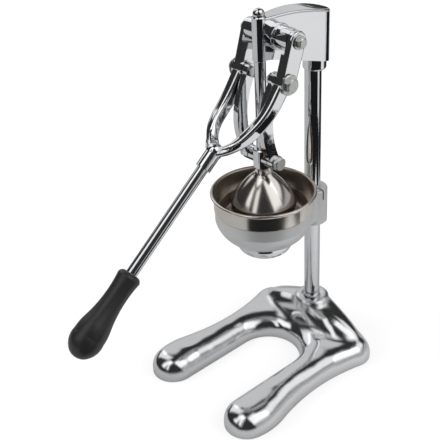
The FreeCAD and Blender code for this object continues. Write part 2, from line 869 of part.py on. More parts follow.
arm_low = dim("holder_arm_bottom")
extrude(holder, "Arm", "XY_Plane", draw_arm, dim("holder_sleeve_top") - arm_low - dim("holder_arm_drop"), lift=arm_low)
extrude(holder, "Sleeve", "XY_Plane", axis_circle(post_y, dim("holder_sleeve_radius")),
        dim("holder_sleeve_top") - dim("holder_sleeve_bottom"), lift=dim("holder_sleeve_bottom"))
doc.recompute()
sleeve_rim = dim("holder_sleeve_top").value
round_edges(holder, "SleeveEdge",
            lambda e: abs(e.BoundBox.ZMin - sleeve_rim) < 0.01 and e.BoundBox.YMax > post_y.value + 5,
            dim("holder_sleeve_edge"))
inside = dim("well_radius") + dim("well_room")
floor_in = cup_low + dim("holder_floor")
ledge = dim("holder_ledge")
turn(holder, "Hollow", "XZ_Plane", "V_Axis", [
    (0, cup_low - PAST), (mouth, cup_low - PAST), (mouth, floor_in),
    (dim("funnel_flange") + dim("flange_room"), floor_in),
    (dim("funnel_flange") + ledge, floor_in + ledge, dim("holder_inside_radius")),
    (inside, cup_top - dim("holder_inside_straight")), (inside, cup_top + PAST), (0, cup_top + PAST)],
    cut=True)
extrude(holder, "PostBore", "XY_Plane", axis_circle(post_y, dim("post_radius") + dim("fit")),
        dim("holder_sleeve_top"), lift=dim("holder_sleeve_bottom") - PAST, cut=True, reverse=True)


def draw_slit(sketch):
    half = dim("slit_width") / 2
    far = dim("holder_sleeve_radius") + PAST
    draw_loop(sketch, [(0, post_y - half), (far, post_y - half), (far, post_y + half), (0, post_y + half)])


extrude(holder, "Slit", "XY_Plane", draw_slit, dim("slit_depth") + PAST, lift=dim("holder_sleeve_top") + PAST, cut=True)
holder_screw_z = dim("holder_sleeve_bottom") + dim("holder_screw_rise")


def draw_holder_screw(radius):
    def draw(sketch):
        draw_circle(sketch, (0, holder_screw_z), radius)
    return draw


extrude(holder, "ScrewHole", "XZ_Plane", draw_holder_screw(grub + dim("fit")), dim("holder_sleeve_radius") + PAST,
        lift=-post_y, cut=True)
holder_screw = new_body("holder_set_screw")
extrude(holder_screw, "Screw", "XZ_Plane", draw_holder_screw(grub),
        dim("holder_sleeve_radius") - dim("post_radius") - dim("holder_screw_sink"),
        lift=-(post_y + dim("post_radius") + dim("fit")), reverse=True)

# Funnel: a spun cup that hangs by its flange in the holder's mouth.
funnel = new_body("funnel")
skin = dim("funnel_wall")
neck = mouth - dim("funnel_room")
spout = dim("funnel_spout")
low = dim("funnel_bottom")
corner = dim("funnel_turn")
cone_x = neck - dim("funnel_cone_width")
cone_z = low + dim("funnel_cone_rise")
flange_top = floor_in + skin
turn(funnel, "Cup", "XZ_Plane", "V_Axis", [
    (spout, low), (cone_x, cone_z, corner), (neck, low + corner), (neck, floor_in), (dim("funnel_flange"), floor_in),
    (dim("funnel_flange"), flange_top), (neck - skin, flange_top),
    (neck - skin, low + corner, -dim("funnel_turn_inside")), (cone_x - skin, cone_z + skin), (spout, low + skin)])

# Strainer bowl: a spun bowl with a rolled lip, a shoulder on the holder's rim and a well below it.
bowl = new_body("strainer_bowl")
lip = dim("lip_radius")
rim_z = dim("rim_height") - lip
band = dim("band_radius")
bowl_skin = dim("bowl_wall")
shelf = dim("band_bottom")
well = dim("well_radius")
well_low = dim("well_bottom")
rim_out = dim("rim_radius")
drain = dim("drain_radius")
well_turn = dim("well_corner")
band_edge = dim("band_edge")
turn(bowl, "Bowl", "XZ_Plane", "V_Axis", [
    (drain, well_low), (well - well_turn, well_low, well_turn), (well, well_low + well_turn), (well, shelf),
    (band - band_edge, shelf), (band, shelf + band_edge), (rim_out - 2 * lip, rim_z - dim("lip_root")),
    (rim_out - lip, rim_z - lip, lip), (rim_out, rim_z, lip), (rim_out - lip, rim_z + lip, dim("lip_roll")),
    (rim_out - dim("lip_hem"), rim_z), (band - bowl_skin, shelf + bowl_skin), (well - bowl_skin, shelf + bowl_skin),
    (well - bowl_skin, well_low + well_turn, bowl_skin - well_turn), (well - well_turn, well_low + bowl_skin),
    (drain, well_low + bowl_skin)])

# Reamer cone: a slotted strainer cone that stands on the bowl's floor over the drain.
reamer = new_body("reamer_cone")
cone_r = dim("reamer_radius")
cone_low = well_low + bowl_skin
cone_skin = dim("reamer_wall")
point_r = dim("reamer_point")
cone_high = dim("reamer_top")
cone_under = cone_high - dim("reamer_crown")
tip = dim("reamer_tip")
turn(reamer, "Cone", "XZ_Plane", "V_Axis", [
    (cone_r - dim("reamer_foot_bore"), cone_low), (cone_r, cone_low), (cone_r, cone_low + cone_skin),
    (cone_r - dim("reamer_foot"), cone_low + cone_skin),
    (point_r, cone_high - dim("reamer_point_drop"), dim("reamer_point_radius")), (tip, cone_high), (0, cone_high),
    (0, cone_under), (tip, cone_under), (point_r - cone_skin, cone_high - dim("reamer_inside_drop"))])


def draw_drain_slot(sketch):
    half = dim("slot_half")
    start = cone_r - dim("slot_inner")
    end = cone_r - dim("slot_outer")
    draw_loop(sketch, [(start, -half), (end, -half), (end, half), (start, half)])


drain_slot = extrude(reamer, "Slot", "XY_Plane", draw_drain_slot, dim("slot_height"),
                     lift=cone_low + dim("slot_rise"), cut=True, reverse=True)
slots = reamer.newObject("PartDesign::PolarPattern", "Slots")
slots.Originals = [drain_slot]
slots.Axis = (next(item for item in reamer.Origin.OriginFeatures if item.Role == "Z_Axis"), [""])
slots.Angle = 360
bind(slots, "Occurrences", dim("reamer_slots"))
reamer.Tip = slots

# Plunger: a rod with a ball top that runs in the guide sleeve.
plunger = new_body("plunger_rod")
rod = dim("plunger_radius")
ball = dim("ball_radius")
ball_z = sleeve_high + dim("ball_rise")
groove = ball_z - dim("groove_drop")
rod_low = dim("plunger_bottom")
rod_edge = dim("rod_edge")
BALL_CUT = (0.8, 0.6)
turn(plunger, "Rod", "XZ_Plane", "V_Axis", [
    (0, rod_low), (rod - rod_edge, rod_low), (rod, rod_low + rod_edge), (rod, groove),
    (rod - dim("groove_depth"), groove + dim("groove_flank")),
    (ball * BALL_CUT[0], ball_z - ball * BALL_CUT[1], ball), (ball, ball_z, ball), (0, ball_z + ball)])

# Crosshead: a collar on the rod with a cross boss that faces the lower bolts.
bend_y = dim("pivot_offset") - dim("bend_forward")
bend_z = pivot_z - dim("bend_drop")
lower_z = bend_z - dim("link_drop")
crosshead = new_body("crosshead")
place(crosshead, z=lower_z)
collar = dim("collar_radius")
collar_half = dim("collar_half")
collar_edge = dim("collar_edge")
turn(crosshead, "Collar", "XZ_Plane", "V_Axis", [
    (0, -collar_half), (collar - collar_edge, -collar_half), (collar, collar_edge - collar_half),
    (collar, collar_half - collar_edge), (collar - collar_edge, collar_half), (0, collar_half)])
cross_r = dim("crosshead_radius")
cross_half = dim("crosshead_half")
cross_edge = dim("crosshead_edge")
turn(crosshead, "Cross", "XY_Plane", "H_Axis", [
    (-cross_half, 0), (cross_half, 0), (cross_half, cross_r - cross_edge), (cross_half - cross_edge, cross_r),
    (cross_edge - cross_half, cross_r), (-cross_half, cross_r - cross_edge)])
extrude(crosshead, "RodBore", "XY_Plane", axis_circle(Size.of(0), rod + dim("fit")),
        2 * (collar_half + PAST), lift=-(collar_half + PAST), cut=True, reverse=True)
screw_z = collar_half - dim("cross_screw_drop")


def draw_cross_screw(radius):
    def draw(sketch):
        draw_circle(sketch, (0, screw_z), radius)
    return draw


grub_small = dim("cross_screw_radius")
extrude(crosshead, "ScrewHole", "XZ_Plane", draw_cross_screw(grub_small + dim("fit")), collar + PAST, cut=True)
cross_screw = new_body("crosshead_screw")
place(cross_screw, z=lower_z)
extrude(cross_screw, "Screw", "XZ_Plane", draw_cross_screw(grub_small), collar - rod - dim("cross_screw_sink"),
        lift=-(rod + dim("fit") + dim("cross_screw_gap")), reverse=True)

# Press cone: a spun dome with a thick crown, open below.
dome = new_body("press_cone")
dome_neck = dim("dome_neck_radius")
dome_top = dim("dome_neck_top")
dome_r = dim("dome_radius")
shoulder_z = dim("dome_shoulder")
dome_low = dim("dome_bottom")
dome_skin = dim("dome_wall")
boss_low = dim("dome_boss_bottom")
dome_bore = rod + dim("fit")
boss_step = dim("dome_boss_step")
neck_head = dome_top - dim("dome_neck_head")
turn(dome, "Dome", "XZ_Plane", "V_Axis", [
    (dome_bore, boss_low), (dome_neck + boss_step, boss_low),
    (dome_neck + 2 * boss_step, boss_low - dim("dome_boss_fall"), -dim("dome_inside_radius")),
    (dome_r - dome_skin, shoulder_z - dim("dome_inside_drop")), (dome_r - dome_skin, dome_low), (dome_r, dome_low),
    (dome_r, shoulder_z, dim("dome_outside_radius")),
    (dome_neck + dim("dome_neck_flare"), dome_top - dim("dome_neck_foot")), (dome_neck, neck_head),
    (dome_neck - dim("dome_neck_edge"), dome_top), (dome_bore, dome_top)])
cone_nut = new_body("cone_nut")
nut_low = dim("plunger_bottom") + dim("cone_nut_rise")
place(cone_nut, z=nut_low)
extrude(cone_nut, "Nut", "XY_Plane", draw_nut(dim("cone_nut_flats"), dome_bore), boss_low - nut_low)

# Bolts, washers and nuts of the four side joints; each body lies along X from its own origin.


def hex_bolt(label, y, z, face, length, radius, flats, head_height, flange=None):
    """A hexagon bolt whose head stands on the plane X = face and whose shank runs inward."""
    bolt = new_body(label)
    place(bolt, y, z)
    grip_face = face
    if flange:
        flange_r, flange_h = flange
        grip_face = face + flange_h
        soft = dim("flange_edge")
        turn(bolt, "Flange", "XY_Plane", "H_Axis", [
            (face, 0), (grip_face, 0), (grip_face, flange_r - soft), (grip_face - soft, flange_r),
            (face, flange_r)])
    extrude(bolt, "Head", "YZ_Plane", lambda s: draw_hexagon(s, flats), head_height, lift=grip_face)
    high = grip_face + head_height
    chamfer_r = flats / 2 - dim("bolt_chamfer_face")
    turn(bolt, "HeadChamfer", "XY_Plane", "H_Axis", [
        (high - dim("bolt_chamfer"), flats / math.sqrt(3) + dim("bolt_chamfer_over")), (high, chamfer_r),
        (high + PAST, chamfer_r), (high + PAST, flats)], cut=True)
    shank_edge = dim("shank_edge")
    turn(bolt, "Shank", "XY_Plane", "H_Axis", [
        (face - length, 0), (high - dim("bolt_chamfer"), 0), (high - dim("bolt_chamfer"), radius),
        (face - length + shank_edge, radius), (face - length, radius - shank_edge)])
    return bolt


def washer(label, y, z, face, radius, bore_radius, height):
    ring = new_body(label)
    place(ring, y, z)
    soft = dim("bolt_washer_edge")
    turn(ring, "Washer", "XY_Plane", "H_Axis", [
        (face, bore_radius), (face, radius - soft), (face + soft, radius), (face + height, radius),
        (face + height, bore_radius)])
    return ring


outside = dim("arm_outside")
washer_h = dim("bolt_washer_height")
pivot_y = dim("pivot_offset")
pivot_r = dim("pivot_bolt_radius")
gap = dim("side_gap")
pivot_face = outside + gap + washer_h
mirrored_pair("pivot_washers", washer(
    "pivot_washer", pivot_y, pivot_z, outside + gap, dim("bolt_washer_radius"), pivot_r + dim("fit"), washer_h))
mirrored_pair("pivot_bolts", hex_bolt(
    "pivot_bolt", pivot_y, pivot_z, pivot_face, pivot_face - (dim("boss_half") - bolt_reach), pivot_r,
    dim("pivot_bolt_flats"), dim("pivot_bolt_head")))

link_r = dim("link_bolt_radius")
link_in = dim("link_inside")
link_out = link_in + dim("link_thickness")
nut_h = dim("link_nut_height")
nut_face = link_in - gap
mirrored_pair("link_washers", washer(
    "link_washer", bend_y, bend_z, outside, dim("link_washer_radius"), link_r + dim("fit"), washer_h))
mirrored_pair("link_bolts", hex_bolt(
    "link_bolt", bend_y, bend_z, outside + washer_h, outside + washer_h - (nut_face - nut_h + dim("nut_stand")), link_r,
    dim("link_bolt_flats"), dim("link_bolt_head"), (dim("flange_radius"), dim("flange_height"))))
link_nut = new_body("link_nut")
place(link_nut, bend_y, bend_z)
extrude(link_nut, "Nut", "YZ_Plane", draw_nut(dim("link_nut_flats"), link_r + dim("fit")), nut_h,
        lift=nut_face - nut_h)
mirrored_pair("link_nuts", link_nut)

lower_in = cross_half + gap
mirrored_pair("lower_washers", washer(
    "lower_washer", 0, lower_z, link_out, dim("bolt_washer_radius"), link_r + dim("fit"), washer_h))
mirrored_pair("lower_bolts", hex_bolt(
    "lower_bolt", 0, lower_z, link_out + washer_h, link_out + washer_h - lower_in, link_r,
    dim("lower_bolt_flats"), dim("lower_bolt_head")))

# Links: two bowed straps with an eye at each end.
right_link = new_body("right_link")


def draw_strap(sketch):
    """The bowed strap between the eyes, seen from the side."""
    half = dim("link_width") / 2
    bow = dim("link_bow")
    span = dim("link_drop") / 2
    front = (span * span + bow * bow) / (2 * bow)
    draw_loop(sketch, [
        (bend_y - half, bend_z, front), (-half, lower_z), (half, lower_z, -(front + dim("link_hollow"))),
        (bend_y + half, bend_z)])


def draw_eyes(sketch):
    draw_circle(sketch, (bend_y, bend_z), dim("link_eye_radius"))
    draw_circle(sketch, (0, lower_z), dim("link_eye_radius"))


def draw_eye_holes(sketch):
    draw_circle(sketch, (bend_y, bend_z), link_r + dim("running_clearance"))
    draw_circle(sketch, (0, lower_z), link_r + dim("fit"))


extrude(right_link, "Strap", "YZ_Plane", draw_strap, dim("link_thickness"), lift=link_in)
extrude(right_link, "Eyes", "YZ_Plane", draw_eyes, dim("link_thickness"), lift=link_in)
extrude(right_link, "Holes", "YZ_Plane", draw_eye_holes, dim("link_thickness") + 2 * PAST, lift=link_in - PAST,
        cut=True, reverse=True)
left_link = doc.addObject("Part::Mirroring", "left_link")
left_link.Source = right_link
left_link.Normal = Vector(1, 0, 0)
keep(left_link, "left_link")

# Lever yoke: a forked casting; each arm is lofted from the bend to the neck.
drop = math.radians(dim("handle_drop").value)
handle_axis = Vector(0, -math.cos(drop), -math.sin(drop))
neck_y = bend_y - dim("neck_forward")
neck_z = bend_z - dim("neck_drop")
neck_spot = Vector(0, neck_y.value, neck_z.value)

# How far along each axis the arm's centre line has come, as shares of the way from the bend to the neck.
# From ARM_LEANS on, the sections lean inward, square to the way the arm runs into the neck.
ARM_LEANS = 5
ARM_PATH = ((0, 0, 0), (0.012, 0.144, 0.211), (0.03, 0.332, 0.456), (0.1, 0.527, 0.635), (0.26, 0.707, 0.785),
            (0.63, 0.873, 0.94), (1, 1, 1))


def arm_section(centre, tangent, across, width, depth):
    """A rounded rectangle square to the arm."""
    tangent = Vector(tangent).normalize()
    across = (across - tangent * across.dot(tangent)).normalize()
    deep = tangent.cross(across)
    corner = dim("arm_corner").value
    flat_w = width / 2 - corner
    flat_d = depth / 2 - corner

    def spot(a, b):
        return centre + across * a + deep * b

    nook = corner * math.sqrt(0.5)
    edges = []
    quarters = ((1, 1), (-1, 1), (-1, -1), (1, -1))
    for index, (sx, sy) in enumerate(quarters):
        on_side = spot(sx * (width / 2), sy * flat_d)
        on_end = spot(sx * flat_w, sy * (depth / 2))
        first, last = (on_side, on_end) if sx * sy > 0 else (on_end, on_side)
        edges.append(Part.Arc(first, spot(sx * (flat_w + nook), sy * (flat_d + nook)), last).toShape())
        nx, ny = quarters[(index + 1) % len(quarters)]
        onward = spot(nx * flat_w, ny * (depth / 2)) if nx * ny < 0 else spot(nx * (width / 2), ny * flat_d)
        edges.append(Part.LineSegment(last, onward).toShape())
    return Part.Wire(edges)


def build_arm(side, upper_start, elbow):
    """The arm from under the eye to the neck: a straight length to the elbow and a curved one below it."""
    width = dim("arm_width").value
    depth = dim("arm_depth").value
    slimmer = width - dim("arm_neck_width").value
    thinner = depth - dim("arm_neck_depth").value
    bend = Vector(outside.value - width / 2, bend_y.value, bend_z.value)
    run = Vector(dim("neck_half").value, neck_spot.y, neck_spot.z) - bend
    centres = []
    for share_x, share_y, share_z in ARM_PATH:
        step = Vector(run.x * share_x, run.y * share_y, run.z * share_z)
        centres.append(Vector((bend + step).x * side, (bend + step).y, (bend + step).z))
    sections = []
    for index, centre in enumerate(centres):
        before = centres[max(index - 1, 0)]
        after = centres[min(index + 1, len(centres) - 1)]
        across = Vector(1, 0, 0) if index < ARM_LEANS else Vector(0.5, 0.66 * side, 0.56 * side)
        share = ARM_PATH[index][1]
        sections.append(arm_section(
            centre, after - before, across, width - slimmer * share, depth - thinner * share))
    upper_depth = dim("arm_upper_depth").value
    ends = [Vector(centres[0].x, spot.y, spot.z) for spot in (upper_start, elbow)]
    straight = [arm_section(spot, ends[1] - ends[0], Vector(1, 0, 0), width, upper_depth) for spot in ends]
    return Part.makeLoft(straight, True, True), Part.makeLoft(sections, True, False)


def eye_plate(eye, bend, low, high):
    """The flat eye and the plate below it, rounded on its outer face."""
    eye_r = dim("eye_radius").value
    end_r = dim("arm_upper_depth").value / 2
    run = bend - eye
    lean = math.asin((eye_r - end_r) / run.Length)
    along = Vector(run).normalize()
    flank = Vector(0, -along.z, along.y)
    square = flank * math.cos(lean) + along * math.sin(lean)
    mirror = flank * -math.cos(lean) + along * math.sin(lean)
    edges = [
        Part.LineSegment(eye + square * eye_r, bend + square * end_r).toShape(),
        Part.Arc(bend + square * end_r, bend + along * end_r, bend + mirror * end_r).toShape(),
        Part.LineSegment(bend + mirror * end_r, eye + mirror * eye_r).toShape(),
        Part.Arc(eye + mirror * eye_r, eye - along * eye_r, eye + square * eye_r).toShape(),
    ]
    face = Part.Face(Part.Wire(edges))
    face.translate(Vector(low, 0, 0))
    plate = face.extrude(Vector(high - low, 0, 0))
    outer = [edge for edge in plate.Edges if abs(edge.BoundBox.XMin - high) < 0.001 and edge.BoundBox.XLength < 0.001]
    return plate.makeFillet(dim("eye_edge").value, outer)


def build_yoke():
    eye = Vector(0, pivot_y.value, pivot_z.value)
    bend = Vector(0, bend_y.value, bend_z.value)
    behind = Vector(0, -(bend - eye).z, (bend - eye).y).normalize()
    elbow = bend + behind * dim("bend_set_back").value
    down = (elbow - eye).normalize()
    parts = []
    for side in (1, -1):
        out = side * outside.value
        inner = side * dim("bend_inside").value
        eye_in = side * (dim("boss_half") + gap).value
        parts.append(eye_plate(eye, elbow, eye_in, out))
        parts.append(Part.makeCylinder(
            dim("bend_radius").value, abs(out - inner), bend + Vector(inner, 0, 0), Vector(side, 0, 0)))
        parts.extend(build_arm(side, eye + down * (dim("boss_radius") + dim("eye_clear")).value, elbow))
    radius = dim("socket_radius").value
    length = dim("socket_length").value
    parts.append(Part.makeCylinder(radius, length, neck_spot, handle_axis))
    parts.append(Part.makeSphere(radius + dim("rod_edge").value, neck_spot))
    yoke = parts[0].fuse(parts[1:]).removeSplitter()
    across = 2 * outside.value
    bores = []
    for spot, bore_size in ((eye, pivot_r + dim("running_clearance")), (bend, link_r + dim("fit"))):
        bores.append(Part.makeCylinder(bore_size.value, 2 * across, spot - Vector(across, 0, 0), Vector(1, 0, 0)))
    socket = neck_spot + handle_axis * (length - dim("socket_depth").value)
    bores.append(Part.makeCylinder((dim("rod_radius") + dim("fit")).value, 2 * length, socket, handle_axis))
    return yoke.cut(bores)


shape_node("lever_yoke", build_yoke())


def along_handle(body):
    """Lay a body's own Z axis along the handle, from the neck."""
    body.Placement = Placement(Vector(), Rotation(Vector(1, 0, 0), 90))
    bind(body, "Placement.Base.y", neck_y)
    bind(body, "Placement.Base.z", neck_z)
    bind(body, "Placement.Rotation.Angle", 90 + dim("handle_drop"))


# Handle rod and grip.
handle_rod = new_body("handle_rod")
along_handle(handle_rod)
rod_r = dim("rod_radius")
rod_start = dim("socket_length") - dim("socket_depth") + gap
rod_end = dim("grip_start") + dim("grip_bore_depth") - gap
turn(handle_rod, "Rod", "XZ_Plane", "V_Axis", [
    (0, rod_start), (rod_r - rod_edge, rod_start), (rod_r, rod_start + rod_edge), (rod_r, rod_end - rod_edge),
    (rod_r - rod_edge, rod_end), (0, rod_end)])
grip = new_body("grip")
along_handle(grip)
grip_start = dim("grip_start")
grip_end = grip_start + dim("grip_length")
shoulder = dim("grip_shoulder")
butt = dim("grip_end")
bore_end = grip_start + dim("grip_bore_depth")
turn(grip, "Grip", "XZ_Plane", "V_Axis", [
    (rod_r + dim("fit"), grip_start), (shoulder - dim("grip_nose"), grip_start, dim("grip_nose_radius")),
    (shoulder, grip_start + dim("grip_nose"), -dim("grip_hollow_radius")),
    (butt - dim("grip_swell_step"), grip_end - dim("grip_swell"), dim("grip_swell_radius")),
    (butt, grip_end - dim("grip_widest"), dim("grip_butt_radius")),
    (dim("grip_cap_half"), grip_end - dim("grip_cap_height"), dim("grip_cap_radius")),
    (dim("grip_pole"), grip_end), (0, grip_end), (0, bore_end), (rod_r + dim("fit"), bore_end)])

doc.recompute()
for item in doc.Objects:
    if "Invalid" in item.State or "Error" in item.State:
        raise RuntimeError(f"{item.Label} did not recompute: {item.State}")
os.makedirs("parts", exist_ok=True)
for label, node in nodes.items():
    shape = node.Shape
    if shape.isNull() or not shape.isValid() or shape.Volume <= 0:
        raise RuntimeError(f"{label} has no valid shape")
    shape.exportStep(f"parts/{label}.step")
    print(f"{label}: {len(shape.Solids)} solid(s), {shape.Volume / 1000:.2f} cm3")
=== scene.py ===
import math

import bpy
from mathutils import Matrix, Vector

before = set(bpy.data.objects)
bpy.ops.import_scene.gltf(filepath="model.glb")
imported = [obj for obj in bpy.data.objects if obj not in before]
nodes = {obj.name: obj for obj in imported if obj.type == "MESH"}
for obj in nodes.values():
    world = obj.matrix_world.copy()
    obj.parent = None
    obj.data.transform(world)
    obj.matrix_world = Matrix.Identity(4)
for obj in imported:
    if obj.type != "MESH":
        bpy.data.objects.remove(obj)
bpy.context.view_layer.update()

# Camera: it stands to the front right of the press and above it, looks down past the handle, and rolls a
# little. Its angles, its aim and its distance are fitted to the photograph, in degrees and metres.
camera_turn = math.radians(50.30)
camera_rise = math.radians(31.26)
camera_roll = math.radians(-3.32)
camera_distance = 0.93089
look_at = Vector((0, -0.06394, 0.22543))
back = Vector((math.sin(camera_turn) * math.cos(camera_rise),
               -math.cos(camera_turn) * math.cos(camera_rise), math.sin(camera_rise)))
level_right = Vector((math.cos(camera_turn), math.sin(camera_turn), 0))
level_up = back.cross(level_right)
right = level_right * math.cos(camera_roll) + level_up * math.sin(camera_roll)
upward = level_up * math.cos(camera_roll) - level_right * math.sin(camera_roll)
bpy.ops.object.camera_add()
camera = bpy.context.object
camera.name = "camera"
camera.data.sensor_width = 36
camera.data.lens = 72
camera.data.clip_start = 0.01
camera.matrix_world = Matrix.Translation(look_at + back * camera_distance) @ Matrix(
    (right, upward, back)).transposed().to_4x4()
bpy.context.scene.camera = camera
bpy.context.scene.view_settings.view_transform = "Standard"

# Studio: metal mirrors softboxes in a dark room, on the left, on the right and high up, with a grey wall
# behind and a grey horizon. The camera itself sees plain white, and the rest is lit by an even pale sky.
page_white = 1.0
pale_sky = 0.8
dark_room = 0.03
box_edge = 0.03


class Wire:
    """A node socket that takes part in plain arithmetic."""

    def __init__(self, tree, socket=None):
        self.tree = tree
        self.socket = socket

    def node(self, kind, settings, sockets, out=0):
        """Any node: its type, its settings, the values or wires of its sockets, and the output wanted."""
        made = self.tree.nodes.new(kind)
        for name, value in settings.items():
            setattr(made, name, value)
        for key, value in sockets.items():
            if isinstance(value, Wire):
                self.tree.links.new(value.socket, made.inputs[key])
            else:
                made.inputs[key].default_value = value
        return Wire(self.tree, made.outputs[out] if made.outputs else None)

    def maths(self, operation, *values):
        return self.node("ShaderNodeMath", {"operation": operation}, dict(enumerate(values)))

    def __add__(self, other):
        return self.maths("ADD", self, other)

    def __radd__(self, other):
        return self.maths("ADD", other, self)

    def __sub__(self, other):
        return self.maths("SUBTRACT", self, other)

    def __rsub__(self, other):
        return self.maths("SUBTRACT", other, self)

    def __mul__(self, other):
        return self.maths("MULTIPLY", self, other)

    def __rmul__(self, other):
        return self.maths("MULTIPLY", other, self)

    def __abs__(self):
        return self.maths("ABSOLUTE", self)

    def smooth(self, low, high):
        """0 at low, 1 at high and a smooth step between them. With low above high, the step goes down."""
        return self.node("ShaderNodeMapRange", {"interpolation_type": "SMOOTHSTEP"},
                         {"Value": self, "From Min": low, "From Max": high})


world = bpy.data.worlds.new("studio")
bpy.context.scene.world = world
world.use_nodes = True
world.node_tree.nodes.clear()
sky = Wire(world.node_tree)
way = sky.node("ShaderNodeTexCoord", {}, {}, "Generated")
east = sky.node("ShaderNodeSeparateXYZ", {}, {"Vector": way}, "X")
north = sky.node("ShaderNodeSeparateXYZ", {}, {"Vector": way}, "Y")
height = sky.node("ShaderNodeSeparateXYZ", {}, {"Vector": way}, "Z")


def softbox(bearing, lift, wide, tall, brightness):
    """A box of light with straight edges, at a bearing from +X and a height in degrees.
    wide and tall are half its sizes as they are one metre away."""
    turn, tip = math.radians(bearing), math.radians(lift)
    middle = (math.cos(turn) * math.cos(tip), math.sin(turn) * math.cos(tip), math.sin(tip))
    along = (-math.sin(turn), math.cos(turn), 0.0)
    over = (-math.cos(turn) * math.sin(tip), -math.sin(turn) * math.sin(tip), math.cos(tip))
    ahead, side, top = (east * axis[0] + north * axis[1] + height * axis[2] for axis in (middle, along, over))
    inside_wide = (abs(side) - ahead * wide).smooth(box_edge, -box_edge)
    inside_tall = (abs(top) - ahead * tall).smooth(box_edge, -box_edge)
    return brightness * (inside_wide * inside_tall)


left_box = softbox(bearing=180, lift=42, wide=0.24, tall=0.5, brightness=0.85)
left_wide = softbox(bearing=-107, lift=50, wide=0.18, tall=0.5, brightness=1.1)
left_strip = softbox(bearing=-77, lift=48, wide=0.115, tall=0.55, brightness=1.0)
right_near = softbox(bearing=12, lift=50, wide=0.33, tall=0.5, brightness=1.1)
right_far = softbox(bearing=55, lift=43, wide=0.34, tall=0.29, brightness=0.9)
dim_back = softbox(bearing=140, lift=24, wide=0.5, tall=0.45, brightness=0.58)
horizon = softbox(bearing=42, lift=6, wide=0.9, tall=0.25, brightness=0.42)
shown = dark_room + left_box + left_wide + left_strip + right_near + right_far + dim_back + horizon
rays = sky.node("ShaderNodeLightPath", {}, {}, "Is Camera Ray")
mirrored = sky.node("ShaderNodeLightPath", {}, {}, "Is Glossy Ray")
lit = pale_sky + (shown - pale_sky) * mirrored
level = lit + (page_white - lit) * rays
sky.node("ShaderNodeOutputWorld", {}, {"Surface": sky.node("ShaderNodeBackground", {}, {"Color": level})})

# Floor: a plain pale sheet of matt paper. The camera sees its shade lifted to the white of the page, with the
# shadow kept. Metal mirrors it darker, brightest to the right and dimmest in a patch behind the press.
floor_radius = 3.0
floor_drop = 0.0003
paper_shade, grain_shade = 0.34, 0.01
bounce_shade = (0.82, 0.82, 0.82, 1)
paper_white = (1, 1, 1, 1)
page_lift = 0.70
mirror_lift, mirror_gain, mirror_loss = 0.16, 0.26, 0.2
bpy.ops.object.select_all(action="DESELECT")
bpy.ops.mesh.primitive_circle_add(vertices=96, radius=floor_radius, fill_type="NGON",
                                  location=(0, -0.05, -floor_drop))
floor = bpy.context.object
floor.name = "floor"
paper = bpy.data.materials.new("floor paper")
paper.use_nodes = True
paper.node_tree.nodes.clear()
sheet = Wire(paper.node_tree)
grain = sheet.node("ShaderNodeTexNoise", {}, {"Scale": 3.0, "Detail": 2.0}, "Fac")
soft = sheet.node("ShaderNodeBsdfDiffuse", {}, {"Color": paper_shade + grain_shade * grain, "Roughness": 0.6})
glow = sheet.node("ShaderNodeEmission", {}, {"Color": paper_white, "Strength": page_lift})
where = sheet.node("ShaderNodeTexCoord", {}, {}, "Object")
off_right = sheet.node("ShaderNodeSeparateXYZ", {}, {"Vector": where}, "X")
off_back = sheet.node("ShaderNodeSeparateXYZ", {}, {"Vector": where}, "Y")
brighter = (off_right + 0.5 * off_back).smooth(-0.15, 0.4)
behind = (off_back - 1.1 * off_right).smooth(0.0, 0.2) * (off_back + 0.6 * off_right).smooth(0.05, 0.25)
mirror_glow = sheet.node("ShaderNodeEmission", {}, {
    "Color": paper_white, "Strength": mirror_lift + mirror_gain * brighter - mirror_loss * behind})
plain = sheet.node("ShaderNodeBsdfDiffuse", {}, {"Color": bounce_shade})
page = sheet.node("ShaderNodeAddShader", {}, {0: soft, 1: glow})
reflected = sheet.node("ShaderNodeAddShader", {}, {0: soft, 1: mirror_glow})
seen = sheet.node("ShaderNodeLightPath", {}, {}, "Is Camera Ray")
shone = sheet.node("ShaderNodeLightPath", {}, {}, "Is Glossy Ray")
in_metal = sheet.node("ShaderNodeMixShader", {}, {0: shone, 1: plain, 2: reflected})
sheet.node("ShaderNodeOutputMaterial", {}, {"Surface": sheet.node(
    "ShaderNodeMixShader", {}, {0: seen, 1: in_metal, 2: page})})
floor.data.materials.append(paper)

# Lamps: a wide one above the left shoulder and a weaker one on the right, for the matt faces and the shadow.
# Both point at the middle of the press, and metal doesn't mirror them. Places and widths are in metres, and
# powers in watts.
press_middle = Vector((0, 0, 0.2))
lamps = [("left lamp", (-0.9, -1.2, 1.3), 0.9, 11), ("right lamp", (1.3, 0.6, 1.1), 0.8, 7)]
for name, place, size, power in lamps:
    bpy.ops.object.light_add(type="AREA", location=place)
    lamp = bpy.context.object
    lamp.name = name
    lamp.data.energy = power
    lamp.data.size = size
    lamp.visible_glossy = False
    lamp.rotation_euler = (press_middle - Vector(place)).to_track_quat("-Z", "Y").to_euler()

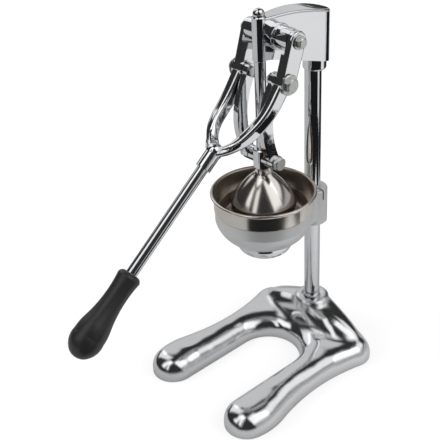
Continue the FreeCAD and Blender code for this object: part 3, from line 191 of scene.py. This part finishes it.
# Dark cloths on the floor, one before the camera and one behind the press: only metal mirrors them, as the
# black core of each bar and the dark edge of the head. Their corners are listed in metres.
velvet_black = (0.01, 0.01, 0.011, 1)
cloth_lift = 0.0006
front_spots = [(0.30, -0.06), (0.42, 0.03), (0.47, 0.12), (0.30, 0.22), (0.33, 0.40), (0.54, 0.44),
               (0.62, 0.33), (0.80, 0.36), (1.9, 0.35), (1.7, -1.6), (0.40, -1.9), (0.06, -0.33)]
back_spots = [(0.20, 0.42), (0.40, 0.60), (0.75, 1.45), (-0.35, 1.5), (-0.10, 0.60)]
spots = front_spots + back_spots
cloth_faces = [tuple(range(len(front_spots))), tuple(range(len(front_spots), len(spots)))]
cloth_mesh = bpy.data.meshes.new("dark_cloth")
cloth_mesh.from_pydata([(x, y, cloth_lift) for x, y in spots], [], cloth_faces)
cloth = bpy.data.objects.new("dark_cloth", cloth_mesh)
bpy.context.scene.collection.objects.link(cloth)
velvet = bpy.data.materials.new("black velvet")
velvet.use_nodes = True
velvet.node_tree.nodes.clear()
pile = Wire(velvet.node_tree)
pile.node("ShaderNodeOutputMaterial", {}, {"Surface": pile.node(
    "ShaderNodeBsdfDiffuse", {}, {"Color": velvet_black})})
cloth.data.materials.append(velvet)
for ray in ("camera", "diffuse", "transmission", "volume_scatter", "shadow"):
    setattr(cloth, "visible_" + ray, False)

# Chromed castings: head, fork, links and cross boss, with the spun funnel under the bowl in the same plating.
# They are polished by hand before they are chromed, so the bright skin keeps a faint waviness.
chrome_dark, chrome_pale = (0.80, 0.81, 0.83, 1), (0.88, 0.885, 0.90, 1)


def new_finish(name):
    """An empty node material, its node tree and the place on the piece."""
    material = bpy.data.materials.new(name)
    material.use_nodes = True
    material.node_tree.nodes.clear()
    tree = Wire(material.node_tree)
    return material, tree, tree.node("ShaderNodeTexCoord", {}, {}, "Object")


def noise(tree, spot, scale, detail):
    """Even noise with about scale blobs to the metre."""
    return tree.node("ShaderNodeTexNoise", {}, {"Vector": spot, "Scale": scale, "Detail": detail}, "Fac")


def tint(tree, fac, dark, pale):
    """The dark colour where fac is 0, and the pale one where it is 1."""
    return tree.node("ShaderNodeMix", {"data_type": "RGBA"}, {0: fac, 6: dark, 7: pale}, 2)


def finish_skin(tree, colour, roughness, relief, depth, metallic=1.0, under=None):
    """The piece's outer skin. The relief is so many metres deep, and lies over softened edges where given."""
    bump_sockets = {"Height": relief, "Distance": depth, "Strength": 1.0}
    if under:
        bump_sockets["Normal"] = under
    bump = tree.node("ShaderNodeBump", {}, bump_sockets)
    skin = tree.node("ShaderNodeBsdfPrincipled", {}, {
        "Base Color": colour, "Metallic": metallic, "Roughness": roughness, "Normal": bump})
    tree.node("ShaderNodeOutputMaterial", {}, {"Surface": skin})


def dress(material, *names):
    """Gives the finish to these nodes of the model."""
    for name in names:
        for slot in nodes[name].material_slots:
            slot.material = material


chrome, t, spot = new_finish("chromed casting")
wave = noise(t, spot, scale=45.0, detail=1.5)
wipe = noise(t, spot, scale=14.0, detail=4.0)
speck = noise(t, spot, scale=900.0, detail=2.0)
finish_skin(t, colour=tint(t, wipe, chrome_dark, chrome_pale),
            roughness=0.035 + 0.05 * wipe.smooth(0.35, 0.75), relief=wave + 0.02 * speck, depth=0.0005)
dress(chrome, "head", "lever_yoke", "right_link", "left_link", "crosshead", "funnel")

# Base: the heavy horseshoe casting that the press stands on, held to the post by a nut from below. Its ridges
# are ground to flow into each other before it is chromed, so highlights run softly over web and shoulders.
base_dark, base_pale = (0.78, 0.79, 0.81, 1), (0.86, 0.865, 0.88, 1)
ground_round = 0.012
ground, t, spot = new_finish("chromed base")
flow = t.node("ShaderNodeBevel", {"samples": 12}, {"Radius": ground_round})
swell = noise(t, spot, scale=22.0, detail=1.0)
wipe = noise(t, spot, scale=14.0, detail=4.0)
finish_skin(t, colour=tint(t, wipe, base_dark, base_pale), roughness=0.06 + 0.05 * wipe.smooth(0.35, 0.75),
            relief=swell, depth=0.0035, under=flow)
dress(ground, "base")

# Bright bars: post, guide sleeve, plunger and the handle's rod, cut from drawn steel bar. They are polished
# until only fine upright hairs are left in the skin.
bar_dark, bar_pale = (0.74, 0.75, 0.77, 1), (0.82, 0.83, 0.85, 1)
hairs_across, hairs_up = 1500.0, 25.0
bar, t, spot = new_finish("polished bar")
draw = noise(t, spot, scale=120.0, detail=2.0)
stretched = t.node("ShaderNodeMapping", {}, {"Vector": spot, "Scale": (hairs_across, hairs_across, hairs_up)})
hair = noise(t, stretched, scale=1.0, detail=2.0)
finish_skin(t, colour=tint(t, draw, bar_dark, bar_pale), roughness=0.05 + 0.06 * hair,
            relief=hair, depth=0.000006)
dress(bar, "post", "guide_sleeve", "plunger_rod", "handle_rod")

# Dome and strainer cone: stainless sheet, spun on a lathe, so fine rings run round them. The dome hangs on
# the plunger's lower end, and the fruit is pressed between it and the slotted cone.
steel_dark, steel_pale = (0.70, 0.665, 0.62, 1), (0.80, 0.77, 0.73, 1)
rings_out, rings_up = 1800.0, 1500.0


def out_from_spindle(tree, spot):
    """The level way from the lathe's upright spindle to the place."""
    return tree.node("ShaderNodeMapping", {}, {"Vector": spot, "Scale": (1.0, 1.0, 0.0)})


def turned(tree, spot):
    """The fine rings of spun sheet, its haze, and the roughness that both give it."""
    away = out_from_spindle(tree, spot)
    reach = tree.node("ShaderNodeVectorMath", {"operation": "LENGTH"}, {0: away}, "Value")
    rise = tree.node("ShaderNodeSeparateXYZ", {}, {"Vector": spot}, "Z")
    ring = tree.node("ShaderNodeTexNoise", {"noise_dimensions": "1D"},
                     {"W": reach * rings_out + rise * rings_up, "Detail": 3.0}, "Fac")
    haze = noise(tree, spot, scale=22.0, detail=3.0)
    return ring, haze, 0.10 + 0.08 * ring + 0.05 * haze


steel, t, spot = new_finish("spun steel")
ring, haze, polish = turned(t, spot)
finish_skin(t, colour=tint(t, haze, steel_dark, steel_pale), roughness=polish, relief=ring, depth=0.00001)
dress(steel, "press_cone", "reamer_cone")

# Strainer bowl: the same spun sheet with a rolled lip, dropped into the holder. It is buffed bright outside.
# Inside, it is a rougher satin, with its colour painted a dark brown-grey: painted shade in the hollow.
buffed_dark, buffed_pale = (0.72, 0.675, 0.62, 1), (0.82, 0.78, 0.73, 1)
# Painted shade: the darker brown-grey of the inside stands in for the shade and dark reflection in the bowl's
# hollow.
inside_shade_dark, inside_shade_pale = (0.36, 0.31, 0.27, 1), (0.46, 0.41, 0.36, 1)
bowl, t, spot = new_finish("spun bowl")
ring, haze, polish = turned(t, spot)
outwards = t.node("ShaderNodeVectorMath", {"operation": "NORMALIZE"}, {0: out_from_spindle(t, spot)})
facing = t.node("ShaderNodeTexCoord", {}, {}, "Normal")
outer = t.node("ShaderNodeVectorMath", {"operation": "DOT_PRODUCT"}, {0: outwards, 1: facing}, "Value")
inner = outer.smooth(0.15, -0.15)
buffed = tint(t, haze, buffed_dark, buffed_pale)
# Inward faces take the painted shade colour, outward faces the buffed steel.
painted_inside_shade = tint(t, haze, inside_shade_dark, inside_shade_pale)
finish_skin(t, colour=tint(t, inner, buffed, painted_inside_shade), roughness=polish + 0.16 * inner,
            relief=ring, depth=0.00001)
dress(bowl, "strainer_bowl")

# Holder: cup, arm and sleeve in one aluminium casting, clamped on the post. It is blasted to a fine pale grey
# skin, a little cloudy and less bright than bare metal.
holder_dark, holder_pale = (0.60, 0.605, 0.61, 1), (0.70, 0.705, 0.71, 1)
pale, t, spot = new_finish("blasted aluminium")
cast = noise(t, spot, scale=1400.0, detail=2.0)
cloud = noise(t, spot, scale=18.0, detail=3.0)
finish_skin(t, colour=tint(t, cloud, holder_dark, holder_pale), roughness=0.36 + 0.10 * cloud,
            relief=cast, depth=0.00002, metallic=0.75)
dress(pale, "bowl_holder")

# Grip: black plastic, moulded with a satin skin and pushed on the end of the handle's rod. Hands have rubbed
# it a little unevenly.
grip_dark, grip_pale = (0.012, 0.012, 0.013, 1), (0.022, 0.022, 0.024, 1)
black, t, spot = new_finish("moulded grip")
pores = noise(t, spot, scale=1100.0, detail=2.0)
rub = noise(t, spot, scale=30.0, detail=3.0)
finish_skin(t, colour=tint(t, rub, grip_dark, grip_pale), roughness=0.30 + 0.12 * rub,
            relief=pores, depth=0.00002, metallic=0.0)
dress(black, "grip")

# Bolts, nuts and washers: zinc plated steel. They pin the fork and the links, and hold the post and the dome.
# The plating is a little dull and cloudy.
zinc_dark, zinc_pale = (0.50, 0.52, 0.50, 1), (0.78, 0.79, 0.77, 1)
zinc, t, spot = new_finish("zinc plating")
bloom = noise(t, spot, scale=160.0, detail=4.0)
finish_skin(t, colour=tint(t, bloom, zinc_dark, zinc_pale), roughness=0.22 + 0.2 * bloom,
            relief=bloom, depth=0.0002)
dress(zinc, "pivot_bolts", "pivot_washers", "link_bolts", "link_washers", "link_nuts", "lower_bolts",
      "lower_washers", "post_nut", "post_washer", "cone_nut")

# Set screws: small steel screws, blackened and oiled. They hold the head and the holder on the post, and the
# cross boss on the plunger.
oxide_dark, oxide_pale = (0.03, 0.03, 0.032, 1), (0.07, 0.07, 0.075, 1)
oxide, t, spot = new_finish("black oxide")
oil = noise(t, spot, scale=300.0, detail=3.0)
finish_skin(t, colour=tint(t, oil, oxide_dark, oxide_pale), roughness=0.35 + 0.2 * oil,
            relief=oil, depth=0.0001)
dress(oxide, "head_set_screws", "holder_set_screw", "crosshead_screw")

# Foot pads: thin pads of moulded rubber, let into the underside of the base. They are matt, with a little
# dust in the skin.
rubber_dark, rubber_pale = (0.02, 0.02, 0.02, 1), (0.05, 0.05, 0.05, 1)
rubber, t, spot = new_finish("foot rubber")
dust = noise(t, spot, scale=500.0, detail=3.0)
finish_skin(t, colour=tint(t, dust, rubber_dark, rubber_pale), roughness=0.75 + 0.15 * dust,
            relief=dust, depth=0.0002, metallic=0.0)
dress(rubber, "foot_pads")
